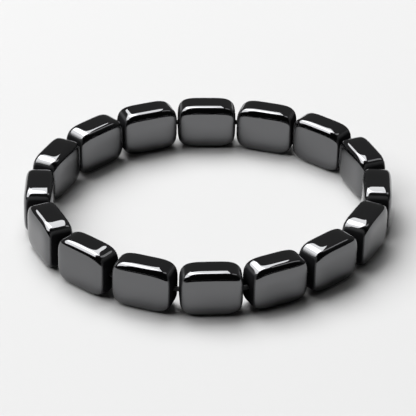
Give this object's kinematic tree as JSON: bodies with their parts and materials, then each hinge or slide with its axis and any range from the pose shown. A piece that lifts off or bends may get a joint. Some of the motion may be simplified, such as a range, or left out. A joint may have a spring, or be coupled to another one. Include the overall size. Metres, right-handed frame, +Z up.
{
  "type": "hematite block-bead stretch bracelet",
  "caption": "Closed ring of polished dark stone block beads, drilled lengthways and strung end to end on a hidden elastic cord, lying flat.",
  "frame": {"origin": "on the surface that the bracelet lies on, in the middle of the ring", "axes": "+Z up through the ring, -Y to the front bead, +X along the front bead and the longer way of the oval ring"},
  "size_m": [0.0748, 0.0697, 0.0097],
  "materials": {
    "hematite": "polished to a metallic shine",
    "elastic": "smooth elastic cord"
  },
  "bodies": {
    "root": {"bead_01": "hematite", "bead_02": "hematite", "bead_03": "hematite", "bead_04": "hematite", "bead_05": "hematite", "bead_06": "hematite", "bead_07": "hematite", "bead_08": "hematite", "bead_09": "hematite", "bead_10": "hematite", "bead_11": "hematite", "bead_12": "hematite", "bead_13": "hematite", "bead_14": "hematite", "bead_15": "hematite", "bead_16": "hematite", "elastic_cord": "elastic"}
  },
  "joints": []
}
